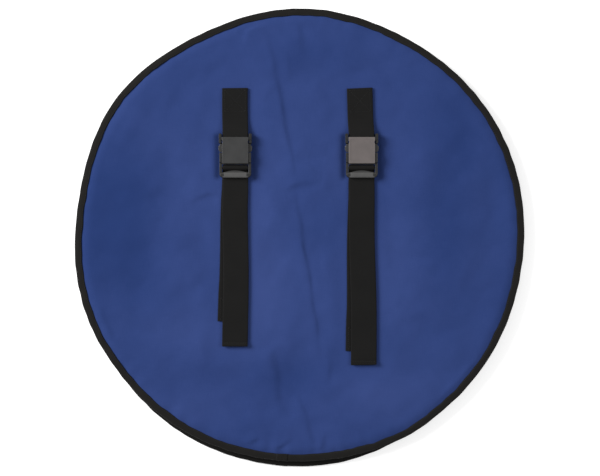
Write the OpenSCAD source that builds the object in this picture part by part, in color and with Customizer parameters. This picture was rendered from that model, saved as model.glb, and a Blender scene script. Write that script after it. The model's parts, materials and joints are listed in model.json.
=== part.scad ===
// Round padded spa cover: a foam-cored fabric disc that folds in half, with a bound edge,
// a zip in its edge band and two webbing straps closed by side-release buckles.
// Millimetres. Origin: centre of the disc on its underside, +Z out of the strapped face,
// +Y towards the short sewn ends of the straps, +X to the right.

/* [Cover] */
// Outer diameter over the edge binding
cover_d = 708; // [600:2:800]
// Thickness of the foam core
core_t = 20; // [18:1:36]
// Thickness of each fabric panel
panel_t = 1.2; // [0.8:0.1:1.6]
// Width of the edge binding, seen from above
binding_w = 10.5; // [9:0.5:14]
// How far each bound seam sits back from the face of the cover
rim_drop = 3; // [2:0.5:4]

/* [Fold] */
// Slant of the fold line away from the Y axis, in degrees
fold_slant = 7; // [0:0.5:10]
// Distance from the centre to the fold line, along X
fold_x = 7; // [0:1:12]
// Gap between the two halves along the fold line
fold_gap = 0.6; // [0.6:0.1:2]

/* [Zip] */
// Direction of the open end of the zip, in degrees from +X
zip_from = 215; // [200:1:240]
// Direction of the closed end of the zip, in degrees from +X
zip_to = 298; // [292:1:320]
// Height of the zip tape across the edge band
zip_tape_w = 10; // [8:0.5:10]

/* [Webbing] */
// Width of the strap webbing
webbing_w = 40; // [38:0.5:40]
// Thickness of the strap webbing
webbing_t = 1.6; // [1.2:0.1:1.8]
// Length of the short strap, from the buckle's joint line to its sewn end
anchor_l = 117; // [90:1:140]

/* [Left strap] */
// Place of the left buckle along X
left_x = -100; // [-120:1:-90]
// Reach of the left load strap below the buckle's joint line
left_hold_l = 248; // [200:1:280]
// Reach of the left free tail below the buckle's joint line
left_tail_l = 286; // [220:1:300]
// Sideways drift of the left short strap at its sewn end
left_anchor_drift = -1; // [-5:0.5:5]
// Sideways drift of the left load strap at its sewn end
left_hold_drift = -8; // [-10:0.5:10]
// Sideways drift of the left free tail at its end
left_tail_drift = 0; // [-10:0.5:10]

/* [Right strap] */
// Place of the right buckle along X
right_x = 97; // [90:1:120]
// Reach of the right load strap below the buckle's joint line
right_hold_l = 294; // [200:1:300]
// Reach of the right free tail below the buckle's joint line
right_tail_l = 315; // [220:1:320]
// Sideways drift of the right short strap at its sewn end
right_anchor_drift = -5; // [-5:0.5:5]
// Sideways drift of the right load strap at its sewn end
right_hold_drift = -5; // [-10:0.5:10]
// Sideways drift of the right free tail at its end
right_tail_drift = 4; // [-10:0.5:10]

/* [Buckle] */
// Distance of both buckles' joint lines above the centre, along Y
buckle_y = 118; // [90:1:130]
// Width of the socket's front plate
plate_w = 41; // [41:0.5:42]
// Length of the socket's front plate
plate_l = 40.5; // [40:0.5:42]
// Width of the buckle over its side rails
buckle_w = 48; // [47:0.5:49]
// Width over the latch arms' squeeze pads
pads_w = 52; // [50:0.5:53]
// Height of the buckle above the cover
buckle_h = 13; // [12.5:0.1:14]

/* [Hidden] */
$fn = 128;

LEFT = -1;
RIGHT = 1;
cover_r = cover_d / 2;
cover_t = core_t + 2 * panel_t;
slack = 0.1;                                  // air between layers that lie on each other

// Rings of the padded disc, from the inside out
face_r = cover_r - binding_w - 7.5;           // edge of the flat face
body_r = cover_r - binding_w + slack;         // outside of the edge band's wall
seam_r = cover_r - 1.7;                       // raw edge of the panels inside the binding
band_t = 0.8;
tape_t = 0.7;                                 // thickness of the binding tape
foam_gap = 4;                                 // between the two halves of the foam

// Zip, between the two bound seams
zip_z = cover_t / 2;
zip_tape_r = body_r + slack;
zip_tape_t = 0.6;
zip_teeth_r = zip_tape_r + zip_tape_t + slack;
zip_teeth_t = 1.8;
zip_teeth_w = 2.7;
zip_split = 1;                                // gap between the two rows of teeth
slider_l = 11;
slider_clear = 0.4;
slider_wall = 1.2;
slider_at = zip_to - 2;
pull_l = 22;
pull_t = 1.2;
pull_w = 6;
pin_r = 0.8;
pin_clear = 0.15;
lug_t = 1.2;                                  // lugs that hold the pull's pin
lug_w = 3.2;
lug_reach = 1.4;
teeth_half_h = zip_split / 2 + zip_teeth_w;
slider_in_r = zip_teeth_r + zip_teeth_t + slider_clear;
pull_pin_r = slider_in_r + slider_wall + 2.6;

// Buckle, measured from its joint line on the cover's face
floor_z = 0.3;                                // underside of the socket above the cover
plate_t = 2.6;
cavity_z = floor_z + plate_t + slack;
cavity_top = buckle_h - plate_t;
socket_wall_x = plate_w / 2;
rail_x = buckle_w / 2;
ear_gap_x = 21.2;
ear_x = 25;
ear_from = 30;
ear_to = 45.4;
wing_from = 34.6;
floor_l = 31;
window_from = 15.6;
bar_y = 36.8;
bar_z = 6.4;
bar_r = 2;
loop_ease = 0.9;                              // room for the skewed webbing round the bar
scallop_r = 3.4;
part_gap = 0.3;                               // running gap between the plug and the socket
plug_z = 2.2;
plug_top = 9.6;
base_from = -2.5;
base_to = 6;
crossbar = [-10, -6];
crossbar_z = [4.5, 7.5];
outer_bar = [-25.8, -15.7];
outer_bar_z = [5, 10];
guide_l = 28;
guide_w = 6;
arm_z = 4.4;
arm_top = 9.4;

// Webbing heights above the cover's face
under_z = webbing_t / 2;
tail_z = 2.3 + webbing_t / 2;
fold_over_z = webbing_t + slack + webbing_t / 2;
tail_from = -26.9;
hold_from = -3;
hem_l = 5;
stitch_t = 0.35;
stitch_w = 0.8;
box_l = 34;
box_w = 32;

function side_x(side) = side == LEFT ? left_x : right_x;
function hold_l(side) = side == LEFT ? left_hold_l : right_hold_l;
function tail_l(side) = side == LEFT ? left_tail_l : right_tail_l;
function anchor_skew(side) = -atan((side == LEFT ? left_anchor_drift : right_anchor_drift) / anchor_l);
function hold_skew(side) = atan((side == LEFT ? left_hold_drift : right_hold_drift) / hold_l(side));
function tail_skew(side) = atan((side == LEFT ? left_tail_drift : right_tail_drift) / tail_l(side));

// Outline of a band of thickness t whose middle runs through the points
function unit(v) = v / norm(v);
function bisector(p, i) =
    let (a = unit(p[max(i, 1)] - p[max(i, 1) - 1]),
         b = unit(p[min(i + 1, len(p) - 1)] - p[min(i + 1, len(p) - 1) - 1]),
         m = unit(a + b))
    [-m[1], m[0]] / (m * a);
function band_outline(p, t) = concat(
    [for (i = [0 : len(p) - 1]) p[i] + bisector(p, i) * t / 2],
    [for (i = [len(p) - 1 : -1 : 0]) p[i] - bisector(p, i) * t / 2]
);
function arc(centre, r, from, to, steps) =
    [for (i = [0 : steps]) let (a = from + (to - from) * i / steps) centre + r * [cos(a), sin(a)]];

// Everything on one side of the fold line
module half(side, gap = fold_gap) {
    big = 2 * cover_d;
    intersection() {
        children();
        translate([fold_x, 0, 0])
            rotate([0, 0, fold_slant])
                translate([side * (big + gap) / 2, 0, 0])
                    cube(big, center = true);
    }
}

module ring_sector(from, to, r, t, z, h) {
    rotate([0, 0, from])
        rotate_extrude(angle = to - from)
            translate([r, z])
                square([t, h]);
}

module front_panel(side) {
    color("royalblue") half(side) rotate_extrude() polygon([
        [0, cover_t - panel_t], [face_r, cover_t - panel_t],
        [body_r, cover_t - rim_drop - panel_t], [seam_r, cover_t - rim_drop - panel_t],
        [seam_r, cover_t - rim_drop], [body_r, cover_t - rim_drop],
        [face_r, cover_t], [0, cover_t]
    ]);
}

module back_panel(side) {
    color("royalblue") translate([0, 0, cover_t]) mirror([0, 0, 1]) front_panel(side);
}

module foam_core(side) {
    edge_r = body_r - band_t - slack;
    color("gainsboro") half(side, foam_gap) rotate_extrude() polygon([
        [0, panel_t], [face_r - 1, panel_t], [edge_r, rim_drop + panel_t + 1],
        [edge_r, cover_t - rim_drop - panel_t - 1], [face_r - 1, cover_t - panel_t],
        [0, cover_t - panel_t]
    ]);
}

module side_band(side) {
    low = rim_drop + panel_t;
    high = cover_t - low;
    color("dimgray") half(side) rotate_extrude() polygon([
        [body_r - band_t, low], [seam_r, low], [seam_r, low + band_t], [body_r, low + band_t],
        [body_r, high - band_t], [seam_r, high - band_t], [seam_r, high], [body_r - band_t, high]
    ]);
}

module front_binding(side) {
    top = cover_t - rim_drop + slack + tape_t;
    bottom = cover_t - rim_drop - panel_t - band_t - slack - tape_t;
    in_r = body_r + 3 * slack;
    color("black") half(side) rotate_extrude() polygon([
        [in_r, bottom], [cover_r, bottom], [cover_r, top], [in_r, top],
        [in_r, top - tape_t], [cover_r - tape_t, top - tape_t],
        [cover_r - tape_t, bottom + tape_t], [in_r, bottom + tape_t]
    ]);
}

module back_binding(side) {
    color("black") translate([0, 0, cover_t]) mirror([0, 0, 1]) front_binding(side);
}

module zip_tape(side) {
    color("black") half(side)
        ring_sector(zip_from, zip_to, zip_tape_r, zip_tape_t, zip_z - zip_tape_w / 2, zip_tape_w);
}

module zip_teeth(side) {
    color("dimgray") half(side)
        for (z = [-teeth_half_h, zip_split / 2])
            ring_sector(zip_from + 1, zip_to - 1, zip_teeth_r, zip_teeth_t, zip_z + z, zip_teeth_w);
}

module slider_frame() {
    rotate([0, 0, slider_at]) translate([0, 0, zip_z]) children();
}

module zip_slider() {
    reach = asin(slider_l / 2 / slider_in_r);
    lip_z = teeth_half_h + slider_clear;
    lip_r = zip_teeth_r + slider_clear;
    shell_h = 2 * (lip_z + slider_wall);
    lug_z = pull_w / 2 + part_gap;
    color("silver") slider_frame() {
        ring_sector(-reach, reach, slider_in_r, slider_wall, -shell_h / 2, shell_h);
        for (s = [-1, 1]) {
            ring_sector(-reach, reach, lip_r, slider_in_r + slider_wall - lip_r,
                s * (lip_z + slider_wall / 2) - slider_wall / 2, slider_wall);
            translate([slider_in_r, -lug_w / 2, s * (lug_z + lug_t / 2) - lug_t / 2])
                cube([pull_pin_r + lug_reach - slider_in_r, lug_w, lug_t]);
        }
        translate([pull_pin_r, 0, -lug_z - lug_t / 2])
            cylinder(r = pin_r, h = 2 * lug_z + lug_t, $fn = 48);
    }
}

module zip_pull() {
    eye_r = pin_r + pin_clear + 1;
    color("silver") slider_frame()
        translate([pull_pin_r, 0, -pull_w / 2])
            linear_extrude(pull_w) difference() {
                union() {
                    circle(r = eye_r, $fn = 48);
                    translate([-pull_t / 2, -pull_l])
                        square([pull_t, pull_l]);
                }
                circle(r = pin_r + pin_clear, $fn = 48);
            }
}

// Puts a strap's pieces at its buckle's joint line, on the cover's face
module at_buckle(side) {
    translate([side_x(side), buckle_y, cover_t]) children();
}

// A band of webbing whose middle runs through points [y, z]
module webbing(points) {
    rotate([90, 0, 90])
        linear_extrude(webbing_w, center = true)
            polygon(band_outline(points, webbing_t));
}

// A sewn box with a cross in it, as thread lying on the webbing
module box_stitch(length, width) {
    diagonal = norm([length, width]);
    linear_extrude(stitch_t) {
        difference() {
            square([width + stitch_w, length + stitch_w], center = true);
            square([width - stitch_w, length - stitch_w], center = true);
        }
        for (s = [-1, 1])
            rotate([0, 0, s * atan(length / width)])
                square([diagonal, stitch_w], center = true);
    }
}

module anchor_frame(side) {
    at_buckle(side)
        translate([0, bar_y, 0])
            rotate([0, 0, anchor_skew(side)])
                translate([0, -bar_y, 0])
                    children();
}

module anchor_strap(side) {
    wrap_r = bar_r + 1.5 * slack + webbing_t / 2;
    bend_y = bar_y + 24;
    color("black") anchor_frame(side) webbing(concat(
        [[anchor_l, under_z], [bend_y, under_z], [bar_y + 5, bar_z - wrap_r - 0.2]],
        arc([bar_y - loop_ease, bar_z], wrap_r, -90, -270, 12),
        [[bar_y + 5, bar_z + wrap_r - 0.3], [bend_y, fold_over_z], [anchor_l, fold_over_z]]
    ));
}

module anchor_stitching(side) {
    color("dimgray") anchor_frame(side)
        translate([0, anchor_l - 3 - box_l / 2, fold_over_z + webbing_t / 2])
            box_stitch(box_l, box_w);
}

// Front plate of the socket, with wings that join its ears and a scallop in front of each
module socket_plate() {
    linear_extrude(plate_t) difference() {
        union() {
            translate([-socket_wall_x, 0])
                square([plate_w, plate_l]);
            translate([-ear_x, wing_from])
                square([2 * ear_x, plate_l - wing_from]);
        }
        for (s = [-1, 1])
            translate([s * (socket_wall_x + 2.5), wing_from - scallop_r + 0.6])
                circle(r = scallop_r, $fn = 64);
    }
}

// A block on both sides of the buckle, between two places along X, Y and Z
module side_blocks(x, y, z) {
    for (s = [-1, 1])
        scale_x(s)
            translate([x[0], y[0], z[0]])
                cube([x[1] - x[0], y[1] - y[0], z[1] - z[0]]);
}

module buckle_socket(side) {
    join = 0.5;
    color("dimgray") at_buckle(side) {
        translate([0, 0, cavity_top])
            socket_plate();
        translate([-socket_wall_x, 0, floor_z])
            cube([plate_w, floor_l, plate_t]);
        side_blocks([socket_wall_x - join, rail_x], [0, window_from], [floor_z, floor_z + plate_t]);
        side_blocks([socket_wall_x, rail_x], [0, window_from], [floor_z, buckle_h]);
        side_blocks([socket_wall_x - join, rail_x], [0, window_from], [cavity_top, buckle_h]);
        side_blocks([ear_gap_x, ear_x], [ear_from, ear_to], [floor_z, cavity_top + join]);
        side_blocks([socket_wall_x - join, ear_x], [ear_from, floor_l], [floor_z, floor_z + plate_t]);
        translate([-ear_gap_x - 1, bar_y, bar_z])
            rotate([0, 90, 0])
                cylinder(r = bar_r, h = 2 * ear_gap_x + 2, $fn = 48);
    }
}

// A bar right across the plug, between two places along Y and two heights
module plug_bar(y, half_x, z) {
    translate([-half_x, y[0], z[0]])
        cube([2 * half_x, y[1] - y[0], z[1] - z[0]]);
}

module buckle_plug(side) {
    inner_z = [cavity_z + part_gap, cavity_top - part_gap];
    color("dimgray") at_buckle(side) {
        side_blocks([socket_wall_x, rail_x], [outer_bar[0], -part_gap], [plug_z, plug_top]);
        plug_bar([base_from, base_to], socket_wall_x - part_gap, inner_z);
        plug_bar([base_from, -part_gap], rail_x, [inner_z[0], plug_top]);
        plug_bar([base_to - 1, guide_l], guide_w / 2, inner_z);
        plug_bar(crossbar, rail_x - 1, crossbar_z);
        plug_bar(outer_bar, rail_x, outer_bar_z);
    }
}

module latch_arm(side, s) {
    root_y = base_to + part_gap;
    catch_y = window_from + 0.8;
    pad_y = [catch_y + 3.6, catch_y + 8];
    blade_x = [13, 16.8, 18.6];
    tip_x = [14.5, 17.5, 19.5];
    color("gray") at_buckle(side)
        translate([0, 0, arm_z])
            linear_extrude(arm_top - arm_z)
                scale_x(s) polygon([
                    [blade_x[0], root_y], [blade_x[1], root_y], [blade_x[2], catch_y], [rail_x, catch_y],
                    [pads_w / 2, pad_y[0]], [pads_w / 2, pad_y[1]], [rail_x + 0.6, ear_from - 0.8],
                    [tip_x[2], ear_from - 0.8], [tip_x[1], ear_from], [tip_x[0], ear_from]
                ]);
}

// Mirrors a shape to the other side when s is -1
module scale_x(s) {
    mirror([s < 0 ? 1 : 0, 0, 0]) children();
}

module strap_loop(side) {
    rise_y = crossbar[1] + 1.5;
    fall_y = crossbar[0] - 1.6;
    top_z = 8.6;
    color("black") at_buckle(side) webbing([
        [rise_y, 2.2], [rise_y, top_z - 1.4], [rise_y - 1, top_z - 0.2], [rise_y - 2.2, top_z],
        [fall_y + 2, top_z], [fall_y + 0.7, top_z - 0.4], [fall_y - 0.1, top_z - 1.8],
        [fall_y - 0.6, tail_z + 2], [fall_y - 1.9, tail_z + 0.5], [fall_y - 4, tail_z],
        [outer_bar[0] + 0.4, tail_z]
    ]);
}

module hold_frame(side) {
    at_buckle(side) rotate([0, 0, hold_skew(side)]) children();
}

module hold_strap(side) {
    color("black") hold_frame(side)
        webbing([[-hold_l(side), under_z], [hold_from, under_z]]);
}

module hold_stitching(side) {
    color("dimgray") hold_frame(side)
        translate([0, -hold_l(side) + 3 + box_l / 2, webbing_t])
            box_stitch(box_l, box_w);
}

module tail_frame(side) {
    at_buckle(side)
        translate([0, tail_from, 0])
            rotate([0, 0, tail_skew(side)])
                translate([0, -tail_from, 0])
                    children();
}

module tail_strap(side) {
    hem_z = tail_z + webbing_t;
    color("black") tail_frame(side) {
        webbing([[-tail_l(side), tail_z], [tail_from, tail_z]]);
        webbing([[-tail_l(side), hem_z], [-tail_l(side) + hem_l, hem_z]]);
    }
}

module tail_stitching(side) {
    color("dimgray") tail_frame(side)
        translate([0, -tail_l(side) + hem_l - 1.5, tail_z + 1.5 * webbing_t])
            linear_extrude(stitch_t)
                square([webbing_w - 4, stitch_w], center = true);
}

front_panel(LEFT);  // left_front_panel
front_panel(RIGHT);  // right_front_panel
back_panel(LEFT);  // left_back_panel
back_panel(RIGHT);  // right_back_panel
foam_core(LEFT);  // left_foam_core
foam_core(RIGHT);  // right_foam_core
side_band(LEFT);  // left_side_band
side_band(RIGHT);  // right_side_band
front_binding(LEFT);  // left_front_binding
front_binding(RIGHT);  // right_front_binding
back_binding(LEFT);  // left_back_binding
back_binding(RIGHT);  // right_back_binding
zip_tape(LEFT);  // left_zip_tape
zip_tape(RIGHT);  // right_zip_tape
zip_teeth(LEFT);  // left_zip_teeth
zip_teeth(RIGHT);  // right_zip_teeth
zip_slider();
zip_pull();
anchor_strap(LEFT);  // left_anchor_strap
anchor_strap(RIGHT);  // right_anchor_strap
anchor_stitching(LEFT);  // left_anchor_stitching
anchor_stitching(RIGHT);  // right_anchor_stitching
buckle_socket(LEFT);  // left_buckle_socket
buckle_socket(RIGHT);  // right_buckle_socket
buckle_plug(LEFT);  // left_buckle_plug
buckle_plug(RIGHT);  // right_buckle_plug
latch_arm(LEFT, LEFT);  // left_outer_latch_arm
latch_arm(LEFT, RIGHT);  // left_inner_latch_arm
latch_arm(RIGHT, RIGHT);  // right_outer_latch_arm
latch_arm(RIGHT, LEFT);  // right_inner_latch_arm
strap_loop(LEFT);  // left_strap_loop
strap_loop(RIGHT);  // right_strap_loop
hold_strap(LEFT);  // left_hold_strap
hold_strap(RIGHT);  // right_hold_strap
hold_stitching(LEFT);  // left_hold_stitching
hold_stitching(RIGHT);  // right_hold_stitching
tail_strap(LEFT);  // left_tail_strap
tail_strap(RIGHT);  // right_tail_strap
tail_stitching(LEFT);  // left_tail_stitching
tail_stitching(RIGHT);  // right_tail_stitching
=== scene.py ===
import json
import math

import bmesh
import bpy
import numpy as np
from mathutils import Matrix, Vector


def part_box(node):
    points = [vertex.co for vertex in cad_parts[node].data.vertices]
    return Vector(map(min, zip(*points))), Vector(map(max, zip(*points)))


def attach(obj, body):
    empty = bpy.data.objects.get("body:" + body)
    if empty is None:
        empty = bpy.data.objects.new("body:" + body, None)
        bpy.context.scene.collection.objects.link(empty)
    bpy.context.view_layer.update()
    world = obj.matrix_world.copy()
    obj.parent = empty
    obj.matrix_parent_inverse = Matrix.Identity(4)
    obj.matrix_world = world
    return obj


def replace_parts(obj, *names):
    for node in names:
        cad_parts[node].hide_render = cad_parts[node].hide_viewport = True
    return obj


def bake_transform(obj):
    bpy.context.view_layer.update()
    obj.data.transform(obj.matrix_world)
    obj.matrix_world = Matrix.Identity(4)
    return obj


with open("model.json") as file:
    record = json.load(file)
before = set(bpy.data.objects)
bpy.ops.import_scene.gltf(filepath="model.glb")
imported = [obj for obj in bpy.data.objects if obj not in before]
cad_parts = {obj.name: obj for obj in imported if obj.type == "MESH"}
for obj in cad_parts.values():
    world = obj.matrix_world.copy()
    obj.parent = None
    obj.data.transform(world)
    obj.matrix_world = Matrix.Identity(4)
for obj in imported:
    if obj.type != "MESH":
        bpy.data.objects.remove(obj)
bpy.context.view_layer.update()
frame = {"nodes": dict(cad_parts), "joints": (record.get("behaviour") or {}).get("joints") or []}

# Lengths in this script are millimetres, and MM turns them into Blender's metres.
MM = 0.001
LEFT, RIGHT = "left", "right"


# ---------------- places, from the frame

def box_mm(node):
    """Lowest and highest corner of a CAD node, in mm."""
    low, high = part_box(node)
    return np.array(low) / MM, np.array(high) / MM


def span_z(node):
    """Lowest and highest point of a CAD node above the floor, in mm."""
    return [corner[2] for corner in box_mm(node)]


COVER_R = box_mm("right_front_binding")[1][0]
TOP = span_z("right_front_panel")[1]
FRONT_TAPE_Z = span_z("right_front_binding")
BACK_TAPE_Z = span_z("right_back_binding")
ZIP_TAPE_Z = span_z("right_zip_tape")
ZIP_TAPE_R = -box_mm("right_zip_tape")[0][1]
ZIP_TEETH_R = -box_mm("left_zip_teeth")[0][1]
ZIP_FROM = 2 * math.pi - math.acos(box_mm("left_zip_tape")[0][0] / ZIP_TAPE_R)
ZIP_TO = 2 * math.pi - math.acos(box_mm("right_zip_tape")[1][0] / ZIP_TAPE_R)

BINDING_W = 10.5
TAPE_T, PANEL_T, BAND_T = 0.7, 1.2, 0.8     # thicknesses of the cloths
TAPE_GAP = 0.1                              # air between the tape and the panel
WALL_R = COVER_R - BINDING_W - 0.3          # middle of the edge band's wall
SEAM_Z = FRONT_TAPE_Z[1] - TAPE_T - TAPE_GAP    # face of the front panel where the tape grips it
BACK_SEAM_Z = TOP - SEAM_Z
FLANGE_Z = SEAM_Z - PANEL_T - BAND_T / 2    # middle of the band's flange under the front panel

fold = next(j for j in frame["joints"] if j["name"] == "cover_fold")
FOLD_POINT = np.array(fold["pos_m"]) / MM
FOLD_ALONG = np.array(fold["axis"])
FOLD_ACROSS = np.array([FOLD_ALONG[1], -FOLD_ALONG[0], 0])   # from the left half to the right one
FOLD_HALF_W = 20                                             # reach of the bend on each side of the line


def bends_at_fold(piece, part=None):
    """One length of cloth over both halves. It stands for the part's halves."""
    if part:
        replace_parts(piece, "left_" + part, "right_" + part)
    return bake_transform(piece)


def stands_for(piece, node, body):
    """The piece replaces this node, and rides on its body."""
    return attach(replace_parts(piece, node), body)


class Strap:
    """Places of one side's buckle and straps, from their CAD nodes."""

    BAR_Y, BAR_Z = 36.8, 6.4     # socket's bar, in the buckle's own frame
    TAIL_FROM = -26.9
    WIDTH = 40

    def __init__(self, side):
        self.side = side
        low, high = box_mm(side + "_buckle_socket")
        self.origin = np.array([(low[0] + high[0]) / 2, low[1], TOP])
        self.anchor_skew, self.anchor_l = self.reach(side + "_anchor_strap", self.BAR_Y, 1)
        self.hold_skew, self.hold_l = self.reach(side + "_hold_strap", 0, -1)
        self.tail_skew, self.tail_l = self.reach(side + "_tail_strap", self.TAIL_FROM, -1)

    def reach(self, node, pivot_y, way):
        """Angle of a strap about its pivot, and how far it goes from the buckle's joint line."""
        low, high = box_mm(node)
        middle = (low + high) / 2 - self.origin
        skew = -math.atan(middle[0] / (middle[1] - pivot_y))
        end = (high if way > 0 else low)[1] - self.origin[1]
        return skew, abs(end) - self.WIDTH / 2 * math.sin(abs(skew))

    def place(self, points, skew=0.0, pivot_y=0.0):
        """Points in the buckle's own frame, turned about (0, pivot_y) and put on the cover."""
        x, y, z = np.asarray(points, float).T
        c, s = math.cos(skew), math.sin(skew)
        turned = [c * x - s * (y - pivot_y), s * x + c * (y - pivot_y) + pivot_y, z]
        return np.stack(turned, -1) + self.origin

    def body(self, part):
        return f"{self.side}_{part}"

    @property
    def cover(self):
        return "cover_" + self.side


STRAPS = [Strap(LEFT), Strap(RIGHT)]


# ---------------- shapes of cloth, as formulas

def smoothstep(value, low, high):
    t = np.clip((value - low) / (high - low), 0, 1)
    return t * t * (3 - 2 * t)


def ripple(x, y, wavelength, seed, count=7):
    """Smooth unevenness, mostly between -1 and 1, with waves of about this length."""
    draw = np.random.default_rng(seed)
    total = np.zeros(np.shape(x))
    for _ in range(count):
        heading, phase = draw.uniform(0, math.tau, 2)
        length = wavelength * draw.uniform(0.7, 1.5)
        total = total + np.sin(math.tau * (x * math.cos(heading) + y * math.sin(heading)) / length + phase)
    return total / math.sqrt(count)


def around(theta, wavelength, seed):
    """The same unevenness along the cover's edge."""
    return ripple(COVER_R * np.cos(theta), COVER_R * np.sin(theta), wavelength, seed)


# The sewn disc isn't quite round: waves per turn, height, and direction of a crest in degrees
OUTLINE_WAVES = [(1, 1.8, 137), (2, 2.9, 81), (3, 2.0, 19), (5, 0.6, 0), (6, 1.4, 25), (7, 1.0, -15),
                 (8, 0.7, 9)]
STRETCH = 1.5                   # how far the foam stretches the whole rim outwards
PULL = 10.2                     # how far the zip drags the front seam inwards
PULL_FROM, PULL_PEAK, PULL_TO = (math.radians(a) for a in (205, 273, 300))


def outline(theta):
    """Outer radius of the cover, seen from above."""
    waves = sum(h * np.cos(n * (theta - math.radians(at))) for n, h, at in OUTLINE_WAVES)
    return COVER_R + STRETCH + waves + 0.25 * around(theta, 30, 5)


def pull(theta):
    """Share, from 0 to 1, of the inward drag on the front seam above the zip."""
    turn = np.mod(theta, math.tau)
    rise = np.clip((turn - PULL_FROM) / (PULL_PEAK - PULL_FROM), 0, 1)
    fall = np.clip((PULL_TO - turn) / (PULL_TO - PULL_PEAK), 0, 1)
    return np.sin(np.minimum(rise, fall) * math.pi / 2) ** 1.15


def front_seam(theta):
    return outline(theta) - PULL * pull(theta)


def zip_zone(theta):
    """1 along the zip, where the wall keeps the slider's circle, and 0 elsewhere."""
    turn = np.mod(theta, math.tau)
    ramp = math.radians(9)
    return smoothstep(turn, ZIP_FROM - ramp, ZIP_FROM) * (1 - smoothstep(turn, ZIP_TO, ZIP_TO + ramp))


def smooth_line(points, step=4.0, cut=0.25, passes=3):
    """A soft curve through given points, as close points. Each pass cuts off this share of a corner."""
    p = np.array(points, float)
    for _ in range(passes):
        near, far = (1 - cut) * p[:-1] + cut * p[1:], cut * p[:-1] + (1 - cut) * p[1:]
        p = np.concatenate([p[:1], np.stack([near, far], 1).reshape(-1, p.shape[1]), p[-1:]])
    return even_line(p, step)


def even_line(points, step):
    """The same line with its points an even distance apart."""
    run = np.concatenate([[0], np.cumsum(np.linalg.norm(np.diff(points, axis=0), axis=1))])
    at = np.linspace(0, run[-1], max(2, round(run[-1] / step) + 1))
    return np.stack([np.interp(at, run, points[:, k]) for k in range(points.shape[1])], -1)


def from_line(x, y, line):
    """Signed distance from a line, positive on its right, and the share of the way along it."""
    best = np.full(x.shape, 1e9)
    side = np.zeros(x.shape)
    share = np.zeros(x.shape)
    for i, (a, b) in enumerate(zip(line[:-1], line[1:])):
        d = b - a
        t = np.clip(((x - a[0]) * d[0] + (y - a[1]) * d[1]) / (d @ d), 0, 1)
        gap_x, gap_y = x - a[0] - t * d[0], y - a[1] - t * d[1]
        gap = np.hypot(gap_x, gap_y)
        nearer = gap < best
        best = np.where(nearer, gap, best)
        side = np.where(nearer, np.sign(gap_x * d[1] - gap_y * d[0]), side)
        share = np.where(nearer, (i + t) / (len(line) - 1), share)
    return best * side, share


# Folds pressed into the cloth: points, step down to the left of the way along, half width, reach
CREASES = [
    ([(-53, 326), (-47, 298), (-38, 262), (-29, 210), (-17, 150), (-7, 98)], 2.2, 3.6, 34),
    ([(-38, 240), (-46, 228), (-53, 212)], 1.3, 3.6, 15),
    ([(-2, 336), (2, 310), (8, 286)], 1.5, 4.4, 20),
    ([(-20, 294), (-15, 270), (-9, 248)], 1.0, 3.6, 16),
    ([(36, 89), (12, 86), (-8, 82), (-26, 74)], 2.4, 5.0, 16),
    ([(-8, 126), (10, 117), (30, 104)], 1.4, 3.0, 14),
    ([(42, 130), (28, 133), (14, 132)], 1.4, 5.0, 14),
    ([(-6, 78), (0, 28), (8, -8), (19, -82), (27, -136), (32, -190)], 2.2, 3.6, 30),
    ([(-41, -170), (-37, -212), (-29, -250), (-17, -284)], 3.2, 6.2, 36),
    ([(-3, -244), (8, -274), (18, -304), (27, -328)], 2.1, 3.2, 26),
    ([(46, -186), (50, -200), (46, -226)], 1.2, 3.8, 14),
    ([(-122, 68), (-148, 66), (-168, 57)], 1.6, 3.6, 15),
    ([(-310, -106), (-303, -132), (-290, -158)], 1.4, 4.4, 18),
    ([(214, -250), (250, -219), (282, -176)], 1.5, 4.4, 16),
    ([(-86, 302), (-85, 322), (-74, 334), (-54, 337)], 1.6, 3.0, 15),
    ([(-62, -311), (-74, -319), (-88, -329)], 1.8, 2.6, 12),
    ([(-10, -315), (-24, -321), (-38, -331)], 1.8, 2.6, 12),
    ([(40, -304), (38, -320), (33, -332)], 1.7, 2.6, 12),
    ([(196, 290), (182, 283), (168, 268)], 0.8, 3.4, 14),
]
# Broad soft hollows and swellings: centre, reach along X and Y, height
SWELLINGS = [
    ((-246, -40), (58, 130), -2.9), ((-150, -168), (90, 40), 1.3), ((-96, -262), (110, 34), -1.8),
    ((205, 10), (48, 150), 2.6), ((312, 10), (40, 140), -2.0), ((262, 205), (60, 52), -1.4),
    ((-42, -92), (36, 60), 1.4), ((-18, 190), (40, 110), 1.5), ((60, -60), (26, 120), 0.8),
    ((120, -250), (60, 60), 1.4), ((60, 300), (70, 40), 1.1), ((-250, 150), (70, 60), 1.2),
]
UNEVENNESS = [(1.1, 165, 11), (0.6, 78, 12), (0.14, 34, 13)]     # height, wavelength, seed
# Broad patches of painted sheen and painted shade on the coated cloth, paler where sheen is painted and
# deeper where shade is painted: centre, reach along X and Y, change of tone
SHEEN_AND_SHADE_PATCHES = [
    ((-68, -45), (54, 165), 0.22), ((-20, 165), (50, 70), 0.04), ((-166, -50), (36, 130), 0.05),
    ((-185, -142), (66, 36), 0.12), ((-160, -264), (52, 30), 0.09), ((150, -30), (42, 140), 0.10),
    ((135, -250), (80, 44), 0.16), ((237, 0), (44, 170), -0.15), ((230, 165), (50, 60), -0.07),
    ((-280, 75), (54, 100), -0.22), ((-258, -30), (44, 64), -0.10), ((10, 285), (70, 34), -0.10),
    ((-20, -214), (110, 28), -0.09), ((66, 100), (24, 46), 0.08), ((-332, 20), (34, 170), -0.14),
    ((330, 0), (36, 190), -0.09), ((-40, -110), (34, 60), 0.05),
]


def hump(x, y, centre, reach):
    """A soft round hump, 1 at its centre."""
    return np.exp(-(((x - centre[0]) / reach[0]) ** 2) - ((y - centre[1]) / reach[1]) ** 2)


def humps(x, y, table):
    """Sum of the humps in a table, each times its own value."""
    return sum(value * hump(x, y, centre, reach) for centre, reach, value in table)


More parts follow.
